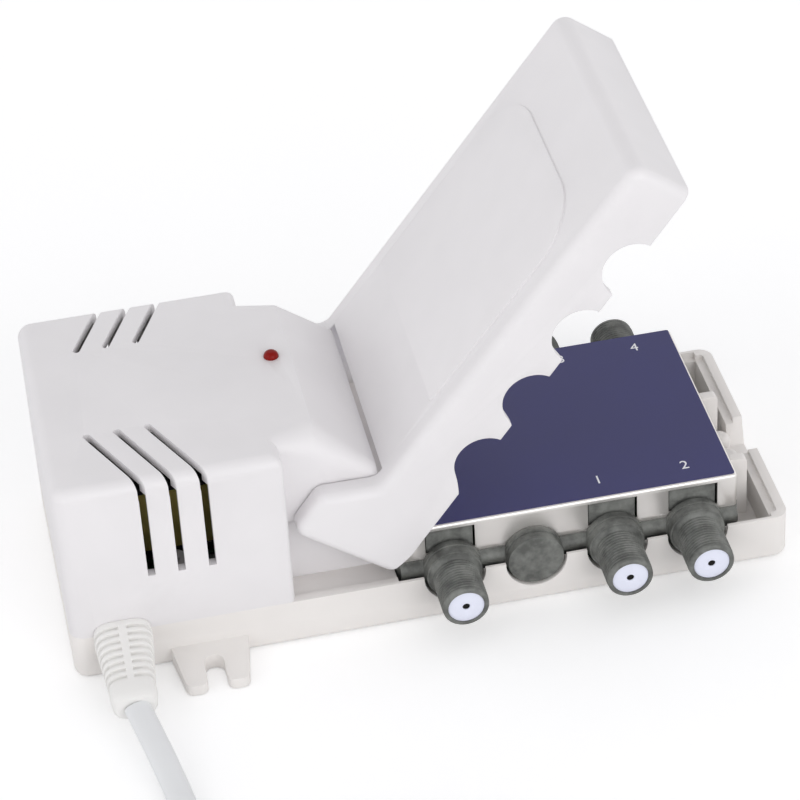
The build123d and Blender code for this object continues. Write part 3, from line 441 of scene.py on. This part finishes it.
@dataclass
class Ports:
    """The threaded sleeves, each drawn out of a ring, with their insulators and contacts."""

    # Across the case, from its middle: the face of a boss, where the sleeve starts. Its seat is inside.
    centre_height: float = 10.1 * MM
    face: float = 29.2 * MM
    length: float = 10.5 * MM
    seat: float = 1.6 * MM
    sides: int = 56
    spigot: float = 4.3 * MM
    radius: float = 4.76 * MM
    root_radius: float = 4.36 * MM
    bore: float = 3.7 * MM
    collar_radius: float = 5.35 * MM
    collar: float = 1.1 * MM
    # Shares of the collar's length: where its edge has dropped by so much, and where its slope ends
    collar_edge: tuple[float, float] = (0.35, 0.15 * MM)
    collar_slope: float = 0.8
    # Shares of a thread's pitch: where its crest starts and ends, and where its valley starts
    threads: int = 11
    crest: tuple[float, float] = (0.32, 0.6)
    valley: float = 0.95
    # The plain tip, and the shares of it that are left where the radius has dropped by so much
    tip: float = 1.0 * MM
    tip_edge: tuple[tuple[float, float], ...] = ((0.85, 0.05 * MM), (0.3, 0.1 * MM), (0.0, 0.5 * MM))
    insulator_edge: float = 0.12 * MM
    # The contacts' ends: how far inside the sleeves, how far they move out, how deep they reach
    contact_sink: float = 1.6 * MM
    contact_lift: float = 1.15 * MM
    contact_end: float = 0.1 * MM
    # The places along X, numbered from the power block, and the numbers in use on each side
    first_place: float = 4.0 * MM
    pitch: float = 16.75 * MM
    front: tuple[int, ...] = (0, 2, 3)
    back: tuple[int, ...] = (2, 3)

    def profile(self) -> list[tuple[float, float]]:
        """The outline of a sleeve.

        Returns:
            Distances from the boss's face, outward, and the radius at each.
        """
        pitch = (self.length - self.collar - self.tip) / self.threads
        edge_share, edge_drop = self.collar_edge
        points = [(-self.seat, self.spigot), (0.0, self.spigot), (0.0, self.collar_radius),
                  (self.collar * edge_share, self.collar_radius - edge_drop),
                  (self.collar * self.collar_slope, self.radius), (self.collar, self.root_radius)]
        for turn in range(self.threads):
            start = self.collar + turn * pitch
            points += [(start + pitch * share, self.radius) for share in self.crest]
            points.append((start + pitch * self.valley, self.root_radius))
        points += [(self.length - self.tip * share, self.radius - drop) for share, drop in self.tip_edge]
        points += [(self.length, self.bore), (-self.seat, self.bore)]
        return points

    def sleeve(self) -> bpy.types.Object:
        """One sleeve on the -Y side, at X of zero.

        Returns:
            The sleeve's object.
        """
        points = self.profile()
        centre = Vector((0, -self.face - points[0][0], self.centre_height))
        bpy.ops.object.select_all(action="DESELECT")
        bpy.ops.mesh.primitive_circle_add(vertices=self.sides, radius=points[0][1], fill_type="NOTHING",
                                          location=centre, rotation=(pi / 2, 0, 0))
        ring = bpy.context.object
        settle(ring)
        edit(ring)
        bpy.ops.mesh.select_all(action="SELECT")
        for (here, wide), (there, next_wide) in zip(points, points[1:]):
            bpy.ops.mesh.extrude_region_move(TRANSFORM_OT_translate={"value": (0, here - there, 0)})
            centre.y += here - there
            grow = next_wide / wide
            bpy.ops.transform.resize(value=(grow, 1, grow), center_override=centre)
        weld()
        leave()
        return ring

    def build(self) -> None:
        """Copies the sleeve to every port in use, and dresses the insulators and contacts."""
        first = self.sleeve()
        copies = []
        for numbers, turn in ((self.front, 0), (self.back, pi)):
            for number in numbers:
                copy = added("sleeve", first.data.copy())
                place = Matrix.Translation((self.first_place + self.pitch * number, 0, 0))
                copy.data.transform(place @ Matrix.Rotation(turn, 4, "Z"))
                copies.append(copy)
        bpy.data.objects.remove(first)
        sleeves = joined(copies, "threaded_sleeves")
        smooth(sleeves, DOME_ANGLE)
        dress(sleeves, CASTING, "base", "port_sleeves")
        moulded("port_insulators", INSULATOR, self.insulator_edge, ROUND_ANGLE)
        self.draw_out_contacts(moulded("port_contacts", HOLE_SHADE_CONTACT, angle=ROUND_ANGLE))

    def draw_out_contacts(self, contacts: bpy.types.Object) -> None:
        """Moves the contacts' outer ends out, so that their near-black faces, painted shade for the deep
        holes, show as dark dots in the insulators.

        Args:
            contacts: The contacts of all ports.
        """
        end = self.face + self.length - self.contact_sink
        for side in (-1, 1):
            edit(contacts)
            mesh = bmesh.from_edit_mesh(contacts.data)
            for vertex in mesh.verts:
                vertex.select = vertex.co.y * side > end - self.contact_end
            mesh.select_flush(True)
            bmesh.update_edit_mesh(contacts.data)
            bpy.ops.transform.translate(value=(0, side * self.contact_lift, 0))
            leave()


@dataclass
class Module:
    """The amplifier module: casting, tinned cover, printed film and the board inside."""

    frame_edge: float = 0.3 * MM
    sheet_edge: float = 0.05 * MM
    digit_size: float = 3.6 * MM
    digit_thickness: float = 0.03 * MM
    film_top: float = 20.35 * MM
    # Each number with the place of its middle along X and Y
    digits: tuple[tuple[str, float, float], ...] = (
        ("1", 36.0 * MM, -20.2 * MM), ("2", 54.0 * MM, -20.2 * MM),
        ("3", 38.6 * MM, 21.0 * MM), ("4", 54.6 * MM, 20.9 * MM))
    board_parts: tuple[tuple[str, Finish], ...] = (
        ("rf_board", SHADED_BOARD), ("rf_chips", BLACK), ("rf_coil_cores", FERRITE), ("rf_capacitors", CAN))

    def digit(self, text: str, x: float, y: float) -> bpy.types.Object:
        """A printed number.

        Args:
            text: The number.
            x: The place of its middle along X.
            y: The place of its middle along Y.

        Returns:
            The number as a flat mesh.
        """
        bpy.ops.object.select_all(action="DESELECT")
        bpy.ops.object.text_add(location=(x, y, self.film_top))
        printed = bpy.context.object
        printed.data.body = text
        printed.data.size = self.digit_size
        printed.data.align_x = "CENTER"
        printed.data.align_y = "CENTER"
        printed.data.extrude = self.digit_thickness
        bpy.ops.object.convert(target="MESH")
        settle(printed)
        return printed

    def build(self) -> None:
        """Dresses the module and prints its film."""
        moulded("module_frame", CASTING, self.frame_edge)
        moulded("module_cover", SHEET, self.sheet_edge)
        moulded("cover_label", FILM)
        dress(joined([self.digit(*entry) for entry in self.digits], "port_numbers"), INK, "base")
        for node, finish in self.board_parts:
            moulded(node, finish, self.sheet_edge)


@dataclass
class PowerSupply:
    """What shows faintly through the vents: board, transformer and small parts."""

    parts: tuple[tuple[str, Finish], ...] = (
        ("power_board", SHADED_BOARD), ("transformer_core", CORE), ("transformer_bobbin", BLACK),
        ("transformer_winding", SHADED_WINDING), ("capacitors", SLEEVE), ("diodes", BLACK),
        ("fuse_tube", GLASS), ("fuse_caps", NICKEL), ("heat_sink", CAN), ("regulator", BLACK),
        ("light_leads", NICKEL), ("terminal_block", BLACK), ("mains_wires", WIRE), ("supply_wire", WIRE))

    def build(self) -> None:
        """Dresses every part of the supply."""
        for node, finish in self.parts:
            moulded(node, finish)


@dataclass
class StrainRelief:
    """The ribbed boot, drawn out of an oval ring in steps, with slots on both sides of a spine.

    Places along the boot are shares of its length, from the root at the case to the tip on the lead.
    """

    root: Point = (-63.3 * MM, -29.5 * MM, 9.6 * MM)
    tip: Point = (-63.6 * MM, -47.6 * MM, 6.5 * MM)
    root_size: tuple[float, float] = (12.0 * MM, 8.4 * MM)
    tip_size: tuple[float, float] = (8.5 * MM, 5.9 * MM)
    # The power that turns a round ring into an oval with fuller corners
    squareness: float = 0.62
    sides: int = 136
    collar_share: float = 0.08
    ribs_end_share: float = 0.8
    mouth_step: float = 0.03
    lip_share: float = 0.94
    # How much wider than a plain taper the boot is at its ends
    root_swell: float = 0.96
    mouth_swell: float = 1.03
    lip_swell: float = 0.9
    ribs: int = 8
    slot_share: float = 0.5
    slot_depth: float = 0.85 * MM
    spine: float = 1.1 * MM
    rib_edge: float = 0.16 * MM
    flange_gap: float = 0.2 * MM
    cap_normal: float = 0.9

    def rib_step(self) -> float:
        """The share of the boot's length that a slot and the rib after it take."""
        return (self.ribs_end_share - self.collar_share) / self.ribs

    def slots(self) -> list[tuple[float, float]]:
        """The places of the slots.

        Returns:
            The shares at which each slot starts and ends.
        """
        step = self.rib_step()
        starts = [self.collar_share + rib * step for rib in range(self.ribs)]
        return [(start, start + step * self.slot_share) for start in starts]

    def rings(self) -> list[float]:
        """The places of the boot's rings.

        Returns:
            The shares at which they stand, from root to tip.
        """
        shares = [0.0, self.collar_share]
        for start, slot_end in self.slots():
            shares += [slot_end, start + self.rib_step()]
        return shares + [self.ribs_end_share + self.mouth_step, self.lip_share, 1.0]

    def swell(self, share: float) -> float:
        """How much wider a ring is than a plain taper.

        Args:
            share: The share at which the ring stands.

        Returns:
            The factor on its size.
        """
        if share == 0.0:
            return self.root_swell
        if share == 1.0:
            return self.lip_swell
        return self.mouth_swell if share > self.ribs_end_share + self.mouth_step / 2 else 1.0

    def first_ring(self) -> bpy.types.Object:
        """The oval ring at the boot's root.

        Returns:
            A filled ring of the root's size.
        """
        bpy.ops.object.select_all(action="DESELECT")
        bpy.ops.mesh.primitive_circle_add(vertices=self.sides, radius=1.0, fill_type="NGON",
                                          location=self.root, rotation=(pi / 2, 0, 0))
        ring = bpy.context.object
        settle(ring)
        root = Vector(self.root)
        wide, tall = self.root_size
        for vertex in ring.data.vertices:
            offset = vertex.co - root
            across = abs(offset.x) ** self.squareness * (1 if offset.x > 0 else -1)
            up = abs(offset.z) ** self.squareness * (1 if offset.z > 0 else -1)
            vertex.co = root + Vector((across * wide / 2, 0, up * tall / 2)) * self.swell(0.0)
        return ring

    def build(self) -> None:
        """Draws the boot, cuts its slots and adds the flange behind it."""
        boot = self.first_ring()
        axis = Vector(self.tip) - Vector(self.root)
        centre = Vector(self.root)
        wide, tall = (size * self.swell(0.0) for size in self.root_size)
        shares = self.rings()
        edit(boot)
        bpy.ops.mesh.select_all(action="SELECT")
        for before, after in zip(shares, shares[1:]):
            bpy.ops.mesh.extrude_region_move(TRANSFORM_OT_translate={"value": axis * (after - before)})
            centre += axis * (after - before)
            new_wide, new_tall = ((first + (last - first) * after) * self.swell(after)
                                  for first, last in zip(self.root_size, self.tip_size))
            bpy.ops.transform.resize(value=(new_wide / wide, 1, new_tall / tall), center_override=centre)
            wide, tall = new_wide, new_tall
        leave()
        self.cut_slots(boot)
        break_edges(boot, self.rib_edge)
        boot.name = "ribbed_boot"
        smooth(boot, ROUND_ANGLE)
        dress(boot, BOOT, "base")
        self.flange()

    def cut_slots(self, boot: bpy.types.Object) -> None:
        """Presses the slots into the boot, leaving the spine above and below.

        Args:
            boot: The drawn boot.
        """
        root = Vector(self.root)
        axis = Vector(self.tip) - root
        edit(boot)
        bpy.ops.mesh.select_mode(type="FACE")
        mesh = bmesh.from_edit_mesh(boot.data)
        for face in mesh.faces:
            centre = face.calc_center_median()
            share = (centre.y - root.y) / axis.y
            in_slot = any(start < share < end for start, end in self.slots())
            on_spine = abs(centre.x - (root + axis * share).x) < self.spine / 2
            on_end = abs(face.normal.y) > self.cap_normal
            if in_slot and not on_spine and not on_end:
                face.select_set(True)
        bmesh.update_edit_mesh(boot.data)
        bpy.ops.mesh.extrude_region_shrink_fatten(TRANSFORM_OT_shrink_fatten={"value": -self.slot_depth})
        leave()

    def flange(self) -> None:
        """Keeps the neck and flange behind the boot from the CAD node."""
        piece = moulded("strain_relief", BOOT)
        edit(piece)
        bpy.ops.mesh.select_all(action="SELECT")
        bpy.ops.mesh.bisect(plane_co=(0, self.root[1] + self.flange_gap, 0), plane_no=(0, 1, 0),
                            clear_inner=True, use_fill=True)
        leave()
        piece.name = "boot_flange"


@dataclass
class MainsLead:
    """The flat lead on one smooth line: its free stretch, the put-away coil and the end at the plug.

    The route, the coil and the end are in millimetres, as in the part's source, and scaled at the end.
    """

    width: float = 5.4 * MM
    thickness: float = 3.4 * MM
    length: float = 1490 * MM
    route: tuple[Point, ...] = (
        (-63.3, -47.6, 6.5), (-61.2, -56.5, 4.75), (-58.6, -69.5, 1.85), (-56.6, -86.5, 1.85),
        (-56.9, -104.5, 1.85), (-56.9, -137.2, 1.85))
    outer_radius: float = 41.0
    coil_pitch: float = 6.1
    layer: float = 4.2
    quarters: int = 29
    turn_points: int = 12
    tail: tuple[Point, ...] = ((9.0, 0.0, 0.2), (18.0, 0.0, 0.6), (27.0, 0.0, 0.8), (34.0, 0.0, 0.8))
    line_order: int = 3
    line_steps: int = 6
    section_steps: int = 5
    shade_angle: float = 60.0

    def control_points(self) -> list[Vector]:
        """The points that steer the lead's line.

        Returns:
            The free stretch's points, 12 for each turn of the coil, and those of the end.
        """
        middle = Vector(self.route[-1]) + Vector((self.outer_radius, 0, 0))
        steps = self.quarters * self.turn_points // 4
        climb_start = steps / 2 - self.turn_points / 4
        # A line of this kind runs inside the points that steer it, so they stand a little wider
        wider = 1 / cos(pi / self.turn_points)
        points = [Vector(point) for point in self.route[:-1]]
        for step in range(steps + 1):
            inward = min(step, steps - step) / self.turn_points
            radius = (self.outer_radius - self.coil_pitch * inward) * (wider if 0 < step < steps else 1)
            climbed = min(max((step - climb_start) / (self.turn_points / 2), 0), 1)
            angle = pi + 2 * pi * step / self.turn_points
            points.append(middle + Vector((radius * cos(angle), radius * sin(angle), self.layer * climbed)))
        end = points[-1].copy()
        points += [end + Vector(offset) for offset in self.tail]
        return [point * MM for point in points]

    def line(self) -> bpy.types.Object:
        """The lead's NURBS line.

        Returns:
            The curve object, with no thickness yet.
        """
        curve = bpy.data.curves.new("lead_line", "CURVE")
        curve.dimensions = "3D"
        curve.twist_mode = "Z_UP"
        curve.resolution_u = self.line_steps
        points = self.control_points()
        spline = curve.splines.new("NURBS")
        spline.points.add(len(points) - 1)
        for knot, point in zip(spline.points, points):
            knot.co = (*point, 1)
        spline.order_u = self.line_order
        spline.use_endpoint_u = True
        return added("mains_lead", curve)

    def section(self) -> bpy.types.Object:
        """The lead's flat section.

        Returns:
            A closed curve, wide along X.
        """
        bpy.ops.object.select_all(action="DESELECT")
        bpy.ops.curve.primitive_bezier_circle_add(radius=self.thickness / 2)
        section = bpy.context.object
        shift = (self.width - self.thickness) / 2
        for knot in section.data.splines[0].bezier_points:
            middle = knot.co.x
            if abs(middle) > abs(knot.co.y):
                step = Vector((shift if middle > 0 else -shift, 0, 0))
                knot.co = knot.co + step
                knot.handle_left = knot.handle_left + step
                knot.handle_right = knot.handle_right + step
            else:
                left, right = (shift if handle.x > middle else -shift
                               for handle in (knot.handle_left, knot.handle_right))
                knot.handle_left = knot.handle_left + Vector((left, 0, 0))
                knot.handle_right = knot.handle_right + Vector((right, 0, 0))
        section.data.resolution_u = self.section_steps
        return section

    def build(self) -> None:
        lead = self.line()
        bare = bpy.data.meshes.new_from_object(lead)
        bpy.data.meshes.remove(bare)
        section = self.section()
        lead.data.bevel_mode = "OBJECT"
        lead.data.bevel_object = section
        lead.data.use_fill_caps = True
        only(lead)
        bpy.ops.object.convert(target="MESH")
        tube = bpy.context.object
        bpy.data.objects.remove(section)
        edit(tube)
        weld()
        leave()
        tube.name = "mains_lead"
        smooth(tube, self.shade_angle)
        dress(tube, LEAD, "base", "mains_cord", "cord_coil")
        plug = moulded("plug_body", LEAD, angle=ROUND_ANGLE)
        pins = moulded("plug_pins", NICKEL, angle=ROUND_ANGLE)


@dataclass
class Studio:
    """Pale floor, soft light and the photograph's camera."""

    eye: Point = (-87.9 * MM, -518.4 * MM, 436.9 * MM)
    yaw: float = 9.6
    pitch: float = 37.5
    roll: float = -3.64
    focal_pixels: float = 3273.1
    middle: tuple[float, float] = (398.7, 399.0)
    picture: float = 800.0
    sensor: float = 36.0
    # Nearest and farthest that the camera sees, in metres
    clip: tuple[float, float] = (0.02, 20.0)
    floor_reach: float = 3.0
    floor_drop: float = 0.2 * MM
    floor_colour: Colour = (0.93, 0.93, 0.93)
    floor_roughness: float = 0.9
    floor_specular: float = 0.1
    floor_lift: float = 0.235
    sky_colour: Colour = (0.985, 0.985, 1.0)
    horizon: float = 1.25
    zenith: float = 0.5
    # Each lamp's name, its place and size in metres, and its power in watts
    lamps: tuple[tuple[str, Point, float, float], ...] = (
        ("front_box", (0.5, -1.45, 0.72), 1.0, 5.5),
        ("left_box", (-1.3, -0.5, 1.2), 0.9, 2.4))

    def camera(self) -> None:
        """Places the camera."""
        data = bpy.data.cameras.new("view")
        data.sensor_width = self.sensor
        data.lens = self.focal_pixels / self.picture * self.sensor
        data.shift_x = (self.picture / 2 - self.middle[0]) / self.picture
        data.shift_y = (self.middle[1] - self.picture / 2) / self.picture
        data.clip_start, data.clip_end = self.clip
        camera = added("view", data)
        heading = Matrix.Rotation(-radians(self.yaw), 4, "Z")
        tilt = Matrix.Rotation(pi / 2 - radians(self.pitch), 4, "X")
        lean = Matrix.Rotation(radians(self.roll), 4, "Z")
        camera.matrix_world = Matrix.Translation(self.eye) @ (heading @ tilt @ lean)
        bpy.context.scene.camera = camera

    def floor(self) -> None:
        """Lays the pale floor, which shows near white and keeps the shadow."""
        bpy.ops.object.select_all(action="DESELECT")
        bpy.ops.mesh.primitive_plane_add(size=2 * self.floor_reach, location=(0, 0, -self.floor_drop))
        floor = bpy.context.object
        floor.name = "floor"
        material = bpy.data.materials.new("pale_floor")
        material.use_nodes = True
        tree = material.node_tree
        shader = tree.nodes["Principled BSDF"]
        shader.inputs["Base Color"].default_value = (*self.floor_colour, 1)
        shader.inputs["Roughness"].default_value = self.floor_roughness
        shader.inputs["Specular IOR Level"].default_value = self.floor_specular
        shader.inputs["Emission Color"].default_value = WHITE
        rays = tree.nodes.new("ShaderNodeLightPath")
        lift = tree.nodes.new("ShaderNodeMath")
        lift.operation = "MULTIPLY"
        lift.inputs[1].default_value = self.floor_lift
        tree.links.new(rays.outputs["Is Camera Ray"], lift.inputs[0])
        tree.links.new(lift.outputs["Value"], shader.inputs["Emission Strength"])
        floor.data.materials.append(material)

    def sky_light(self) -> None:
        """Lights the scene softly, more from the sides than from above, and shows white behind it."""
        world = bpy.data.worlds.new("studio")
        bpy.context.scene.world = world
        world.use_nodes = True
        tree = world.node_tree
        shade = tree.nodes["Background"]
        shade.inputs["Color"].default_value = (*self.sky_colour, 1)
        place = tree.nodes.new("ShaderNodeTexCoord")
        split = tree.nodes.new("ShaderNodeSeparateXYZ")
        fade = tree.nodes.new("ShaderNodeMapRange")
        fade.inputs["To Min"].default_value = self.horizon
        fade.inputs["To Max"].default_value = self.zenith
        tree.links.new(place.outputs["Generated"], split.inputs["Vector"])
        tree.links.new(split.outputs["Z"], fade.inputs["Value"])
        tree.links.new(fade.outputs["Result"], shade.inputs["Strength"])
        seen = tree.nodes.new("ShaderNodeBackground")
        seen.inputs["Color"].default_value = WHITE
        rays = tree.nodes.new("ShaderNodeLightPath")
        mix = tree.nodes.new("ShaderNodeMixShader")
        tree.links.new(rays.outputs["Is Camera Ray"], mix.inputs["Fac"])
        tree.links.new(shade.outputs["Background"], mix.inputs[1])
        tree.links.new(seen.outputs["Background"], mix.inputs[2])
        tree.links.new(mix.outputs["Shader"], tree.nodes["World Output"].inputs["Surface"])

    def lights(self) -> None:
        """Hangs the soft lamps, each aimed at the amplifier."""
        for name, place, size, power in self.lamps:
            data = bpy.data.lights.new(name, "AREA")
            data.shape = "SQUARE"
            data.size = size
            data.energy = power
            lamp = added(name, data)
            lamp.location = place
            lamp.rotation_euler = (-Vector(place)).to_track_quat("-Z", "Y").to_euler()

    def build(self) -> None:
        """Sets up the whole studio."""
        bpy.context.scene.view_settings.view_transform = "Standard"
        self.camera()
        self.floor()
        self.sky_light()
        self.lights()


def main() -> None:
    """Builds everything, logging each group as it starts."""
    logging.basicConfig(level=logging.INFO, format="%(message)s")
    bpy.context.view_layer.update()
    for group in (Studio(), MainsLead(), StrainRelief(), Case(), Ports(), Module(), PowerSupply()):
        log.info("building %s", type(group).__name__)
        group.build()
    bpy.context.view_layer.update()


if __name__ == "__main__":
    main()
